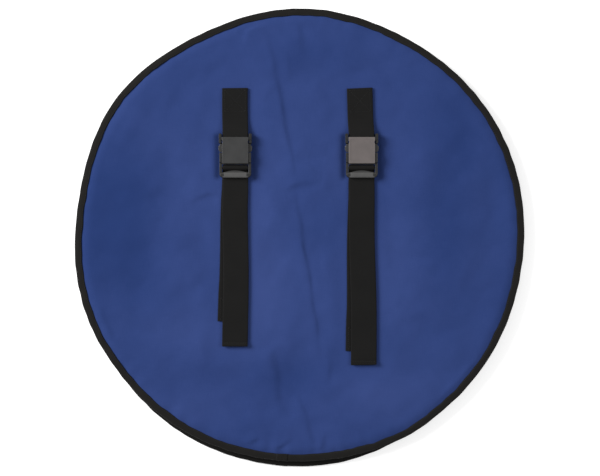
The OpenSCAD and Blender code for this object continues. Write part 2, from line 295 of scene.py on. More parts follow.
def pressed_lines(x, y):
    """Height of all the folds at each point. The cloth drops across a fold, and comes back slowly."""
    total = np.zeros(x.shape)
    wander_x, wander_y = 1.3 * ripple(x, y, 46, 31), 1.3 * ripple(x, y, 40, 32)
    strength = 1 + 0.24 * ripple(x, y, 44, 33)
    for points, drop, width, reach in CREASES:
        side, share = from_line(x + wander_x, y + wander_y, smooth_line(points))
        fade = np.sin(math.pi * np.clip(share, 0, 1)) ** 0.55
        total += fade * strength * drop / 2 * np.tanh(side / width) * np.exp(-((side / reach) ** 2))
    return total


def beside_buckles(x, y):
    """How deep the strapped-down buckles press into the padding round them, from 0 to 1."""
    share = np.zeros(x.shape)
    for strap in STRAPS:
        ox, oy = strap.origin[:2]
        out_x = np.abs(x - ox) - 25.5
        out_y = np.abs(y - oy - 9) - 31
        out = np.hypot(np.maximum(out_x, 0), np.maximum(out_y, 0)) + np.minimum(np.maximum(out_x, out_y), 0)
        share = np.maximum(share, np.exp(-(((out + 1.5) / 6.5) ** 2)))
    return share


def under_straps(x, y, near, far):
    """1 where a strap or buckle lies on the cloth, falling to 0 away from it."""
    share = np.zeros(x.shape)
    for strap in STRAPS:
        ox, oy = strap.origin[:2]
        out_x = np.maximum(np.abs(x - ox) - 25, 0)
        out_y = np.maximum(np.maximum(y - oy - strap.anchor_l, oy - strap.tail_l - y), 0)
        share = np.maximum(share, 1 - smoothstep(np.hypot(out_x, out_y), near, far))
    return share


CLOTH_STEP = 7       # spacing of the simulated sheet's points
CLOTH_R = 345
CLOTH_FRAMES = 20
CLOTH_SLACK = 0.004  # how much larger the sheet is than its place
SLACK_SHARE = 0.42   # share of the simulated height that the panel takes
SLACK_CAP = 1.6


def hold(sheet, share):
    """Pins each point of the sheet by its share, from a loose one on the foam to 1 in a seam."""
    levels = 50
    steps = np.maximum(np.round(share * levels), 1).astype(int)
    group = sheet.vertex_groups.new(name="held")
    for level in np.unique(steps):
        group.add(np.nonzero(steps == level)[0].tolist(), level / levels, "REPLACE")


def make_cloth(sheet):
    cloth = sheet.modifiers.new("Cloth", "CLOTH")
    cloth.collision_settings.use_collision = False
    rules = cloth.settings
    rules.quality, rules.mass, rules.air_damping = 6, 0.25, 2
    rules.tension_stiffness = rules.compression_stiffness = 25
    rules.shear_stiffness, rules.bending_stiffness = 8, 0.5
    rules.shrink_min = rules.shrink_max = -CLOTH_SLACK
    rules.vertex_group_mass, rules.pin_stiffness = "held", 1.0
    rules.effector_weights.gravity = 0


def settled_slack():
    """Cloth simulation of the front panel: a sheet cut a little too big, held by the seam and under the
    straps, buckles into soft wrinkles over the foam. The result is heights on a square grid."""
    count = round(2 * CLOTH_R / CLOTH_STEP) + 1
    places = np.linspace(-CLOTH_R, CLOTH_R, count)
    x, y = np.meshgrid(places, places)
    start = np.stack([x, y, 0.5 * ripple(x, y, 70, 3)], -1).reshape(-1, 3)
    sheet = make_piece("slack_sheet", start, grid_faces(count, count, round_columns=False), "blue_fabric")
    hold(sheet, np.maximum(smoothstep(np.hypot(x, y), 318, 334), under_straps(x, y, 0, 20)).ravel())
    make_cloth(sheet)
    for number in range(1, CLOTH_FRAMES + 1):
        bpy.context.scene.frame_set(number)
    settled = sheet.evaluated_get(bpy.context.evaluated_depsgraph_get()).to_mesh()
    co = np.empty(len(settled.vertices) * 3)
    settled.vertices.foreach_get("co", co)
    bpy.data.objects.remove(sheet)
    bpy.context.scene.frame_set(1)
    height = co.reshape(count, count, 3)[..., 2] / MM * SLACK_SHARE
    return SLACK_CAP * np.tanh(height / SLACK_CAP)


def spline_weights(t):
    """Weights of four neighbours in a row, for a place this share of the way between the middle two."""
    return ((1 - t) ** 3 / 6, (3 * t ** 3 - 6 * t ** 2 + 4) / 6,
            (-3 * t ** 3 + 3 * t ** 2 + 3 * t + 1) / 6, t ** 3 / 6)


def sampled(field, x, y):
    """Smooth height of a square grid field at each point, by cubic B-spline."""
    u, v = (x + CLOTH_R) / CLOTH_STEP, (y + CLOTH_R) / CLOTH_STEP
    i, j = np.floor(u).astype(int), np.floor(v).astype(int)
    last = len(field) - 1
    total = np.zeros(np.shape(x))
    for a, row_weight in enumerate(spline_weights(v - j)):
        for b, column_weight in enumerate(spline_weights(u - i)):
            rows, columns = np.clip(j - 1 + a, 0, last), np.clip(i - 1 + b, 0, last)
            total += row_weight * column_weight * field[rows, columns]
    return total


ROLL_W = 15          # width of the rounded shoulder inside the binding


def shoulder(inside, drop):
    """How far the cloth dips towards the seam, by its distance inside the tape."""
    return drop * (1 - np.clip(inside / ROLL_W, 0, 1)) ** 2.2


def front_face(slack):
    """Height of the front panel's face at each point. slack is its simulated part."""
    def height_at(x, y):
        theta = np.arctan2(y, x)
        inside = front_seam(theta) - BINDING_W - np.hypot(x, y)
        away = 1 - under_straps(x, y, 2, 34)
        close = 1 - under_straps(x, y, 1, 9)
        soft = smoothstep(inside, 0, 45)
        uneven = sum(rise * ripple(x, y, length, seed) for rise, length, seed in UNEVENNESS)
        broad = uneven + humps(x, y, SWELLINGS) + sampled(slack, x, y) + 0.3
        gathers = (0.28 + 0.5 * pull(theta)) * around(theta, 22, 14) * np.exp(-np.maximum(inside, 0) / 15)
        gathers = gathers + 0.35 * around(theta, 60, 15) * np.exp(-np.maximum(inside, 0) / 30)
        height = TOP - shoulder(inside, TOP - SEAM_Z) - 0.3 - 3.2 * beside_buckles(x, y)
        height += smoothstep(inside, -3, 3) * (away * soft * broad + close * gathers)
        return height + close * smoothstep(inside, 2, 12) * pressed_lines(x, y)
    return height_at


def back_face(x, y):
    """Height of the back panel's face, which lies flat on whatever is under the cover."""
    theta = np.arctan2(y, x)
    inside = outline(theta) - BINDING_W - np.hypot(x, y)
    soft = smoothstep(inside, 0, 40)
    hollows = 0.35 + 0.25 * ripple(x, y, 150, 21) + 0.1 * ripple(x, y, 60, 22)
    side, _ = from_line(x, y, np.stack([(FOLD_POINT + t * FOLD_ALONG)[:2] for t in (-330, 330)]))
    hollows = hollows + 0.9 * np.exp(-((side / 5.5) ** 2))
    gathers = 0.25 * around(theta, 24, 23) * np.exp(-np.maximum(inside, 0) / 14)
    return shoulder(inside, BACK_SEAM_Z) + smoothstep(inside, -3, 3) * (soft * hollows + gathers)


# ---------------- mesh building

def grid_faces(rows, columns, round_rows=False, round_columns=True):
    """Four-sided faces of a grid of points, which may close on itself both ways."""
    i = np.arange(rows if round_rows else rows - 1)
    j = np.arange(columns if round_columns else columns - 1)
    a, b = np.meshgrid(i, j, indexing="ij")
    a2, b2 = (a + 1) % rows, (b + 1) % columns
    corners = [a * columns + b, a2 * columns + b, a2 * columns + b2, a * columns + b2]
    return np.stack(corners, -1).reshape(-1, 4).tolist()


def tube_faces(rows, columns):
    """Faces of a tube of points, closed at both ends."""
    ends = [list(range(columns)), [(rows - 1) * columns + k for k in range(columns)]]
    return grid_faces(rows, columns) + ends


def make_piece(name, points, faces, material, weave=None):
    """A smooth mesh object. weave holds each point's place on the flat cloth, for its pattern."""
    mesh = bpy.data.meshes.new(name)
    mesh.from_pydata((np.asarray(points, float) * MM).tolist(), [], faces)
    work = bmesh.new()
    work.from_mesh(mesh)
    bmesh.ops.recalc_face_normals(work, faces=work.faces)
    work.to_mesh(mesh)
    work.free()
    mesh.polygons.foreach_set("use_smooth", [True] * len(mesh.polygons))
    if weave is not None:
        layer = mesh.attributes.new("weave", "FLOAT_VECTOR", "POINT")
        layer.data.foreach_set("vector", (np.asarray(weave) * MM).astype(np.float32).ravel())
    mesh.materials.append(MATERIALS[material])
    piece = bpy.data.objects.new(name, mesh)
    bpy.context.scene.collection.objects.link(piece)
    return piece


DISC_STEPS = 680
WADDING = 2.9        # thin wadding under the cloth, clear of the seam, which fills its hollows


def cloth_disc(name, face, seam, thickness, material):
    """A round panel as a closed sheet: its face is finely meshed, and its hidden side coarsely."""
    theta = np.arange(DISC_STEPS) * math.tau / DISC_STEPS
    fine = np.concatenate([np.linspace(0.012, 0.92, 112, endpoint=False), np.linspace(0.92, 1, 16)])
    coarse = np.array([1, 0.985, 0.96, 0.9, 0.7, 0.45, 0.2, 0.04])
    shares = np.concatenate([fine, coarse])
    radius = shares[:, None] * seam(theta)[None, :]
    x, y = radius * np.cos(theta), radius * np.sin(theta)
    z = face(x, y)
    filled = thickness + math.copysign(WADDING, thickness)
    z[len(fine):len(fine) + 2] -= thickness
    z[len(fine) + 2:] -= filled
    rings = np.stack([x, y, z], -1).reshape(-1, 3)
    middle = np.zeros(1)
    tip = float(face(middle, middle)[0])
    points = np.concatenate([rings, [[0, 0, tip], [0, 0, tip - filled]]])
    faces = grid_faces(len(shares), DISC_STEPS)
    last = (len(shares) - 1) * DISC_STEPS
    for j in range(DISC_STEPS):
        k = (j + 1) % DISC_STEPS
        faces.append([len(rings), j, k])
        faces.append([len(rings) + 1, last + k, last + j])
    return make_piece(name, points, faces, material, weave=points)


def strip_round(name, theta, middle, thickness, material, whole=True):
    """A strip of cloth run round the cover. middle holds, at each direction, (radius, height) points."""
    along = np.gradient(middle, axis=1)
    normal = np.stack([-along[..., 1], along[..., 0]], -1)
    normal /= np.linalg.norm(normal, axis=-1, keepdims=True)
    half = normal * thickness / 2
    loop = np.concatenate([middle + half, (middle - half)[:, ::-1]], axis=1)
    points = on_circle(theta[:, None], loop)
    step = np.linalg.norm(np.diff(loop, axis=1, prepend=loop[:, :1]), axis=-1)
    weave = np.stack([np.broadcast_to(theta[:, None] * COVER_R, step.shape), np.cumsum(step, axis=1)], -1)
    weave = np.concatenate([weave, np.zeros(step.shape + (1,))], -1)
    count, across = loop.shape[:2]
    faces = grid_faces(count, across, round_rows=True) if whole else tube_faces(count, across)
    return make_piece(name, points.reshape(-1, 3), faces, material, weave.reshape(-1, 3))


def rows_of(radius, height):
    """(radius, height) points from two arrays or numbers."""
    return np.stack(np.broadcast_arrays(radius, height), -1)


def on_circle(theta, radius_height):
    """Points from directions and (radius, height) pairs."""
    r, z = radius_height[..., 0], radius_height[..., 1]
    return np.stack([r * np.cos(theta), r * np.sin(theta), z], -1)


def instances(name, template, faces, places, material):
    """Many copies of one small closed shape. A place is (origin, three axis vectors)."""
    points = np.concatenate([o + template @ np.stack(axes) for o, axes in places])
    count = len(template)
    many = [[i * count + k for k in f] for i in range(len(places)) for f in faces]
    return make_piece(name, points, many, material, weave=points)


def stitch_template(length, width, height):
    """One stitch: a short rounded length of thread that dips at both ends."""
    sides, along = 6, 5
    points = []
    for a in np.linspace(-1, 1, along):
        swell = math.sqrt(max(0.06, 1 - a ** 4))
        for k in range(sides):
            turn = k * math.tau / sides
            points.append([a * length / 2, swell * math.cos(turn) * width / 2,
                           swell * math.sin(turn) * height / 2 - 0.25 * height * a * a])
    return np.array(points), tube_faces(along, sides)


STITCH_PITCH = 3.4
THREAD_W = 0.55


def stitches_on(lines, up=(0, 0, 1)):
    """Places for stitches along lines of (x, y, z) points, a pitch apart."""
    places = []
    for line in lines:
        even = even_line(np.asarray(line, float), STITCH_PITCH)
        for a, b in zip(even[:-1], even[1:]):
            ahead = (b - a) / np.linalg.norm(b - a)
            lift = np.asarray(up, float)
            side = np.cross(lift, ahead)
            side /= np.linalg.norm(side)
            places.append(((a + b) / 2, (ahead, side, np.cross(ahead, side))))
    return places


def thread(name, places):
    template, faces = stitch_template(STITCH_PITCH * 0.78, THREAD_W, THREAD_W)
    return instances(name, template, faces, places, "thread")


# ---------------- materials

class Surface:
    """A procedural material: one Principled shader and the nodes that feed it."""

    def __init__(self, name, **constants):
        self.material = bpy.data.materials.new(name)
        self.material.use_nodes = True
        self.nodes = self.material.node_tree.nodes
        self.links = self.material.node_tree.links
        self.nodes.clear()
        self.shader = self.nodes.new("ShaderNodeBsdfPrincipled")
        output = self.nodes.new("ShaderNodeOutputMaterial")
        self.links.new(self.shader.outputs[0], output.inputs[0])
        for socket, value in constants.items():
            self.shader.inputs[socket.replace("_", " ")].default_value = value

    def add(self, kind, inputs=(), **settings):
        node = self.nodes.new("ShaderNode" + kind)
        for key, value in settings.items():
            setattr(node, key, value)
        for key, value in dict(inputs).items():
            self.feed(node.inputs[key], value)
        return node

    def feed(self, socket, value):
        if isinstance(value, bpy.types.NodeSocket):
            self.links.new(value, socket)
        else:
            socket.default_value = value

    def math(self, operation, a, b=0.0):
        return self.add("Math", {0: a, 1: b}, operation=operation).outputs[0]

    def woven(self):
        """The place on the flat cloth, in metres."""
        return self.add("Attribute", attribute_name="weave").outputs["Vector"]

    def in_object(self):
        return self.add("TexCoord").outputs["Object"]

    def stretched(self, vector, scale):
        return self.add("Mapping", {"Vector": vector, "Scale": scale}).outputs[0]

    def noise(self, vector, scale, detail=2.0, roughness=0.5):
        inputs = {"Vector": vector, "Scale": scale, "Detail": detail, "Roughness": roughness}
        return self.add("TexNoise", inputs).outputs[0]

    def ramp(self, factor, stops):
        node = self.add("ValToRGB", {0: factor})
        while len(node.color_ramp.elements) < len(stops):
            node.color_ramp.elements.new(0.5)
        for element, (at, colour) in zip(node.color_ramp.elements, stops):
            element.position = at
            element.color = (*colour, 1)
        return node.outputs[0]

    def spread(self, factor, low, high):
        """The factor's range from 0 to 1, carried over to low to high."""
        return self.add("MapRange", {0: factor, 3: low, 4: high}).outputs[0]

    def sum(self, *weighted):
        """Adds factors, each with its weight."""
        total = None
        for factor, weight in weighted:
            part = self.math("MULTIPLY", factor, weight)
            total = part if total is None else self.math("ADD", total, part)
        return total

    def crossing_yarns(self, vector, pitch_u, pitch_v):
        """Plain weave: bumps of warp and weft by turns, from 0 to 1."""
        parts = self.add("SeparateXYZ", {0: vector}).outputs
        u = self.math("SINE", self.math("MULTIPLY", parts[0], math.pi / pitch_u))
        v = self.math("SINE", self.math("MULTIPLY", parts[1], math.pi / pitch_v))
        return self.math("MULTIPLY_ADD", self.math("MULTIPLY", u, v), 0.5)

    def finish(self, colour, roughness, height, strength, depth):
        self.feed(self.shader.inputs["Base Color"], colour)
        self.feed(self.shader.inputs["Roughness"], roughness)
        bump = self.add("Bump", {"Height": height, "Strength": strength, "Distance": depth * MM})
        self.feed(self.shader.inputs["Normal"], bump.outputs[0])
        return self.material


def grey(level, warm=0.0):
    return (level * (1 + warm), level, level * (1 - warm))


def canvas(name, dark, light, pitch, sheen, specular):
    """Coated polyester canvas: fine plain weave, uneven yarns, soft large patches of tone, and placed patches
    of painted sheen and painted shade from the tone attribute.
    """
    s = Surface(name, Sheen_Weight=sheen, Sheen_Roughness=0.45, Specular_IOR_Level=specular)
    place = s.woven()
    weave = s.crossing_yarns(place, pitch * MM, pitch * MM)
    broad = s.noise(place, 5.5, 3)
    patches = s.noise(place, 26, 4, 0.6)
    warp = s.noise(s.stretched(place, (1400, 60, 1)), 1, 1)
    weft = s.noise(s.stretched(place, (60, 1400, 1)), 1, 1)
    # The tone attribute brings placed patches of painted sheen and painted shade into the colour.
    placed = s.add("Attribute", attribute_name="tone").outputs["Fac"]
    tone = s.sum((broad, 0.34), (patches, 0.22), (warp, 0.12), (weft, 0.12), (weave, 0.2), (placed, 1))
    colour = s.ramp(tone, [(0.28, dark), (0.74, light)])
    height = s.sum((weave, 0.7), (warp, 0.25), (weft, 0.25))
    return s.finish(colour, s.spread(patches, 0.72, 0.92), height, 0.7, 0.16)


def ribbed(name, dark, light, rib, strength, specular):
    """Narrow woven tape or webbing: cross ribs, lengthwise yarns and a little fluff."""
    s = Surface(name, Sheen_Weight=0.035, Sheen_Roughness=0.5, Specular_IOR_Level=specular)
    place = s.woven()
    weave = s.crossing_yarns(place, rib * MM, rib * 0.6 * MM)
    yarns = s.noise(s.stretched(place, (1100, 1100, 400)), 1, 2, 0.7)
    broad = s.noise(place, 22, 3)
    tone = s.sum((broad, 0.45), (yarns, 0.3), (weave, 0.25))
    colour = s.ramp(tone, [(0.25, dark), (0.8, light)])
    height = s.sum((weave, 0.8), (yarns, 0.4))
    return s.finish(colour, s.spread(yarns, 0.62, 0.86), height, strength, 0.2)


def moulded(name, dark, light, smooth, rough):
    """Satin moulded plastic: spark-eroded grain, flow marks and fine scuffs."""
    s = Surface(name, Specular_IOR_Level=0.5)
    place = s.in_object()
    grain = s.noise(place, 3200, 2, 0.6)
    broad = s.noise(place, 60, 3)
    scuffs = s.noise(s.stretched(place, (2600, 140, 900)), 1, 3, 0.7)
    scuff_mask = s.spread(scuffs, -1.2, 1.6)
    colour = s.ramp(s.sum((broad, 0.55), (scuffs, 0.3), (grain, 0.15)), [(0.28, dark), (0.75, light)])
    roughness = s.sum((s.spread(broad, smooth, rough), 0.8), (scuff_mask, 0.12))
    return s.finish(colour, roughness, s.sum((grain, 0.6), (scuffs, 0.5)), 0.22, 0.05)


def open_foam(name):
    """Closed-cell foam: pale, with fine pores."""
    s = Surface(name, Specular_IOR_Level=0.2)
    place = s.in_object()
    pores = s.add("TexVoronoi", {"Vector": place, "Scale": 900}).outputs["Distance"]
    broad = s.noise(place, 30, 2)
    colour = s.ramp(s.sum((pores, 0.5), (broad, 0.5)), [(0.2, grey(0.48)), (0.7, grey(0.66, 0.01))])
    return s.finish(colour, s.spread(broad, 0.8, 0.95), pores, 0.4, 0.4)


def enamelled(name):
    """Black enamel on die-cast zinc, rubbed thin in places."""
    s = Surface(name, Metallic=0.0, Coat_Weight=0.4, Coat_Roughness=0.25)
    place = s.in_object()
    broad = s.noise(place, 300, 4, 0.65)
    fine = s.noise(place, 2500, 2)
    colour = s.ramp(broad, [(0.35, grey(0.012)), (0.66, grey(0.03)), (0.74, grey(0.09))])
    return s.finish(colour, s.spread(broad, 0.28, 0.5), fine, 0.15, 0.05)


def polymer(name, dark, light, roughness, specular=0.35):
    """Small plain polymer parts and thread: slight tone and gloss changes."""
    s = Surface(name, Specular_IOR_Level=specular)
    place = s.in_object()
    broad, fine = s.noise(place, 120, 2), s.noise(place, 4000, 2)
    colour = s.ramp(s.sum((broad, 0.6), (fine, 0.4)), [(0.3, dark), (0.7, light)])
    return s.finish(colour, s.spread(broad, roughness - 0.08, roughness + 0.08), fine, 0.2, 0.05)


def white_backdrop(name):
    """Matt white, with a faint glow that takes the edge off the shadows."""
    s = Surface(name, Specular_IOR_Level=0.1, Emission_Color=(1, 1, 1, 1), Emission_Strength=0.45)
    tone = s.noise(s.in_object(), 2, 2)
    colour = s.ramp(tone, [(0, grey(0.93)), (1, grey(0.95))])
    return s.finish(colour, s.spread(tone, 0.85, 0.95), tone, 0.02, 0.1)


BLUE_SHADE, BLUE_LIGHT = (0.0124, 0.0325, 0.134), (0.0336, 0.0598, 0.202)
# Paler greys of the right buckle's front plate: a painted reflection of the lamps on the plate.
PLATE_REFLECTION_DARK, PLATE_REFLECTION_LIGHT = (0.108, 0.095, 0.092), (0.140, 0.120, 0.117)
MATERIALS = {
    "blue_fabric": canvas("blue_canvas", BLUE_SHADE, BLUE_LIGHT, 0.9, 0.04, 0.14),
    "edge_fabric": canvas("black_canvas", grey(0.0055, 0.03), grey(0.0105, 0.04), 0.85, 0.04, 0.12),
    "binding_tape": ribbed("binding_tape", grey(0.0058, 0.06), grey(0.0115, 0.08), 1.1, 0.5, 0.12),
    "webbing": ribbed("black_webbing", grey(0.0052, 0.02), grey(0.0098, 0.03), 1.6, 0.6, 0.1),
    "thread": polymer("black_thread", grey(0.007), grey(0.018), 0.55, 0.3),
    "buckle_plastic": moulded("black_acetal", grey(0.026, 0.005), grey(0.040, 0.01), 0.36, 0.5),
    # Darker greys for the buckles' side rails, undersides and wings: painted shade.
    "rail_plastic_painted_shade": moulded("acetal_rail_painted_shade", grey(0.009), grey(0.015), 0.44, 0.58),
    "wing_plastic_painted_shade": moulded("acetal_wing_painted_shade", grey(0.0045), grey(0.0080), 0.5, 0.62),
    # Paler grey for the middle of the plug's outer bar: a painted highlight.
    "bar_plastic_painted_highlight": moulded("acetal_bar_painted_highlight", grey(0.060, 0.01), grey(0.086, 0.01), 0.36, 0.5),
    "left_plate": moulded("black_acetal_plate", grey(0.026, -0.01), grey(0.038, -0.01), 0.38, 0.52),
    # Right buckle's front plate: its paler grey is a painted reflection.
    "right_plate": moulded("acetal_plate_painted_reflection", PLATE_REFLECTION_DARK, PLATE_REFLECTION_LIGHT, 0.38, 0.54),
    "foam": open_foam("closed_cell_foam"),
    "zip_teeth": polymer("nylon_coil", grey(0.014), grey(0.03), 0.42, 0.45),
    "zip_metal": enamelled("enamelled_zinc"),
    "floor": white_backdrop("white_floor"),
}


# ---------------- the padded disc

def edge_band():
    """Fabric wall between the two seams, with a flange in each seam."""
    theta = np.arange(720) * math.tau / 720
    waves = outline(theta) - COVER_R
    at_zip = waves * (1 - zip_zone(theta))
    top_shift = front_seam(theta) - COVER_R
    low_shift = outline(theta) - COVER_R
    low_flange, high_flange = TOP - FLANGE_Z, FLANGE_Z
    wall_z = np.array([low_flange, low_flange + 0.5, ZIP_TAPE_Z[0], *np.linspace(8, 14.4, 6),
                       ZIP_TAPE_Z[1], high_flange - 0.5, high_flange])
    share = np.concatenate([[1, 0.75], np.zeros(len(wall_z) - 4), [0.75, 1]])
    seam_shift = np.where((wall_z > TOP / 2)[None, :], top_shift[:, None], low_shift[:, None])
    shift = at_zip[:, None] + (seam_shift - at_zip[:, None]) * share[None, :]
    bulge = np.sin(math.pi * np.clip((wall_z - low_flange) / (high_flange - low_flange), 0, 1))
    bulge = bulge[None, :] * (1 - zip_zone(theta))[:, None] * (1.0 + 0.5 * around(theta, 55, 41))[:, None]
    wall = rows_of(WALL_R + shift + bulge, wall_z)
    flange_w = COVER_R - 2.4 - WALL_R
    parts = []
    for z, rows in ((low_flange, low_shift), (high_flange, top_shift)):
        out = np.linspace(flange_w, 1.0, 4)
        flange = rows_of(WALL_R + rows[:, None] + out[None, :], z)
        parts.append(flange if z < TOP / 2 else flange[:, ::-1])
    middle = np.concatenate([parts[0], wall, parts[1]], axis=1)
    band = strip_round("edge_band", theta, middle, BAND_T, "edge_fabric")
    bends_at_fold(band, "side_band")


LEG_W = 11.1         # the tape's leg that shows, which is cut a little wider than the other


def tape_section(theta, seam, heights, facing, seed):
    """Middle of the folded binding tape: its visible leg, the fold round the seam, and its other leg."""
    low, high = heights
    near, far = (high, low) if facing > 0 else (low, high)
    near, far = near - facing * TAPE_T / 2, far + facing * TAPE_T / 2
    bend = abs(near - far) / 2
    outer = seam(theta) - TAPE_T / 2
    width = LEG_W + 0.45 * around(theta, 42, seed) + 0.2 * around(theta, 17, seed + 1)
    lift = 0.22 * around(theta, 26, seed + 2)
    rows = []
    for u in np.linspace(0, 1, 8):
        r = outer - TAPE_T / 2 - (width - TAPE_T) * (1 - u) - bend * u
        z = near + facing * (0.42 * math.sin(math.pi * u) + lift * math.sin(math.pi * min(1, 1.2 * u)))
        rows.append(rows_of(r, z))
    for turn in np.linspace(75, -75, 7):
        a = math.radians(turn)
        r = outer - bend + bend * math.cos(a)
        rows.append(rows_of(r, (near + far) / 2 + facing * bend * math.sin(a)))
    for u in np.linspace(1, 0.02, 5):
        r = outer - bend * u - (BINDING_W - 0.8) * (1 - u)
        rows.append(rows_of(r, far))
    return np.stack(rows, 1)


def binding(name, seam, heights, facing, seed, part):
    """Folded tape over one seam, sewn through near its inner edge, with a lapped end."""
    theta = np.arange(900) * math.tau / 900
    section = tape_section(theta, seam, heights, facing, seed)
    tape = strip_round(name, theta, section, TAPE_T, "binding_tape")
    bends_at_fold(tape, part)

    lap = math.radians(265.4)
    span = np.linspace(lap - 0.026, lap + 0.026, 14)
    over = tape_section(span, seam, heights, facing, seed)
    grow = facing * 0.55 * smoothstep(span, span[0] - 0.004, span[0] + 0.006)
    over[:, :8, 1] += grow[:, None]
    over[:, 8:15, 0] += 0.5
    lap_piece = strip_round(name + "_lap", span, over[:, :15], TAPE_T * 0.8, "binding_tape", whole=False)
    bends_at_fold(lap_piece)

    line = 0.72 * section[:, 1] + 0.28 * section[:, 2]
    line[:, 1] += facing * (TAPE_T / 2 + 0.04)
    ring = on_circle(theta, line)
    ring = np.concatenate([ring, ring[:1]])
    bends_at_fold(thread(name + "_stitches", stitches_on([ring], up=(0, 0, facing))))


FOAM_ROUND = 7.5
FOAM_Z = PANEL_T + 1.6, TOP - PANEL_T - 4.2


def foam_half(side):
    """One half of the foam core, rounded off at its rim and along the fold."""
    sign = -1 if side == LEFT else 1
    edge_r, set_back = WALL_R - 8, FOLD_HALF_W
    reach = math.sqrt(edge_r ** 2 - set_back ** 2)
    along = FOLD_ALONG[:2]
    across = sign * FOLD_ACROSS[:2]
    half_angle = math.acos((set_back + sign * FOLD_POINT[0]) / edge_r)
    turns = np.linspace(-half_angle, half_angle, 96)
    outline_points = [(edge_r * (math.cos(t) * across + math.sin(t) * along)) for t in turns]
    piece = solid(f"{side}_foam", [slab(outline_points, *FOAM_Z, FOAM_ROUND, 5)], "foam")
    stands_for(piece, f"{side}_foam_core", "cover_" + side)


# ---------------- zip

def zip_strip():
    """Zip tapes on the wall, and the two rows of coil teeth between them."""
    theta = np.linspace(ZIP_FROM, ZIP_TO, 240)
    low, high = ZIP_TAPE_Z
    rows = []
    for z in np.linspace(low, high, 9):
        rows.append(rows_of(ZIP_TAPE_R - 0.3 + 0.05 * np.sin(2.1 * z) + 0 * theta, z))
    tape = strip_round("zip_tapes", theta, np.stack(rows, 1), 0.5, "edge_fabric", whole=False)
    bends_at_fold(tape, "zip_tape")

    lines = []
    for z in (low + 1.2, high - 1.2):
        lines.append(on_circle(theta, rows_of(ZIP_TAPE_R + 0.05 + 0 * theta, z)))
    places = [p for line in lines for p in radial_stitches(line)]
    bends_at_fold(thread("zip_stitches", places))

    pitch = 1.9
    count = int((ZIP_TO - ZIP_FROM) * ZIP_TEETH_R / pitch) - 6
    middle_z, radius = (low + high) / 2, ZIP_TEETH_R - 0.95
    template, faces = tooth_template(1.05, 1.7, 3.4)
    places = []
    for i in range(count):
        for row, offset in ((1, 0.0), (-1, 0.5)):
            a = ZIP_FROM + (4 + i + offset) * pitch / ZIP_TEETH_R
            out = np.array([math.cos(a), math.sin(a), 0])
            ahead = np.array([-math.sin(a), math.cos(a), 0])
            origin = out * radius + np.array([0, 0, middle_z + row * 1.35])
            places.append((origin, (ahead, out, np.array([0, 0, row]))))
    teeth = instances("zip_coil", template, faces, places, "zip_teeth")
    bends_at_fold(teeth, "zip_teeth")


def radial_stitches(line):
    """Stitches on the wall, which stand out from the middle of the cover."""
    places = []
    for origin, (ahead, _, _) in stitches_on([line]):
        out = np.array([origin[0], origin[1], 0]) / math.hypot(origin[0], origin[1])
        places.append((origin, (ahead, np.cross(out, ahead), out)))
    return places


def tooth_template(length, depth, height):
    """One turn of the coil: a bar with a rounded face and a head that reaches past the middle."""
    points = []
    ring = [math.radians(a) for a in range(0, 360, 45)]
    for z, swell in ((-0.5, 0.55), (-0.42, 1.0), (-0.25, 1.1), (0.2, 0.85), (0.44, 0.8), (0.5, 0.5)):
        for a in ring:
            points.append([swell * length / 2 * math.cos(a), swell * depth / 2 * math.sin(a), z * height])
    return np.array(points), tube_faces(len(points) // len(ring), len(ring))


# ---------------- webbing

RIB = 2.0
WEBBING_T = 1.6
WEBBING_STEP = 0.5
THREAD_LIFT = 0.12       # middle of the sewn thread above the webbing's face
ACROSS = np.array([-1, -0.985, -0.955, -0.91, -0.85, -0.7, -0.5, -0.25, 0,
                   0.25, 0.5, 0.7, 0.85, 0.91, 0.955, 0.985, 1])


def webbing(name, path, strap, skew, pivot_y, sway):
    """A ribbed strap whose middle follows (y, z) points. sway moves it sideways and up, by (x, y)."""
    line = smooth_line(path, WEBBING_STEP, cut=0.2, passes=2)
    run = np.arange(len(line)) * WEBBING_STEP
    ahead = np.gradient(line, axis=0)
    ahead /= np.linalg.norm(ahead, axis=1, keepdims=True)
    normal = np.stack([-ahead[:, 1], ahead[:, 0]], -1)
    edge = np.abs(ACROSS)
    half = WEBBING_T / 2 * (1 - edge ** 14) ** 0.5 + 0.09 * np.exp(-(((edge - 0.93) / 0.035) ** 2))
    rib = 0.07 * np.sin(math.tau * run / RIB)
    slots = []
    for way in (1, -1):
        u = ACROSS if way > 0 else ACROSS[::-1][1:-1]
        h = half if way > 0 else half[::-1][1:-1]
        h = h[None, :] + rib[:, None] * (np.abs(u) < 0.99)[None, :]
        x = u[None, :] * strap.WIDTH / 2 + 0 * h
        y = line[:, :1] + way * normal[:, :1] * h
        z = line[:, 1:] + way * normal[:, 1:] * h
        slots.append(np.stack([x, y, z], -1))
    loop = np.concatenate(slots, axis=1)
    side, up = sway(loop[..., 0], loop[..., 1])
    loop[..., 0] += side
    loop[..., 2] += up
    weave = np.stack([loop[..., 0], np.broadcast_to(run[:, None], loop.shape[:2]), loop[..., 2]], -1)
    faces = tube_faces(*loop.shape[:2])
    points = strap.place(loop.reshape(-1, 3), skew, pivot_y)
    return make_piece(name, points, faces, "webbing", weave.reshape(-1, 3))


BOX_L, BOX_W, END_GAP = 34, 32, 3


def box_lines(middle_y, z):
    """Lines of a sewn box with a cross in it."""
    a, b = BOX_W / 2, BOX_L / 2
    corners = [(-a, middle_y - b, z), (a, middle_y - b, z), (a, middle_y + b, z), (-a, middle_y + b, z)]
    ring = [[corners[i], corners[(i + 1) % 4]] for i in range(4)]
    return ring + [[corners[0], corners[2]], [corners[1], corners[3]]]


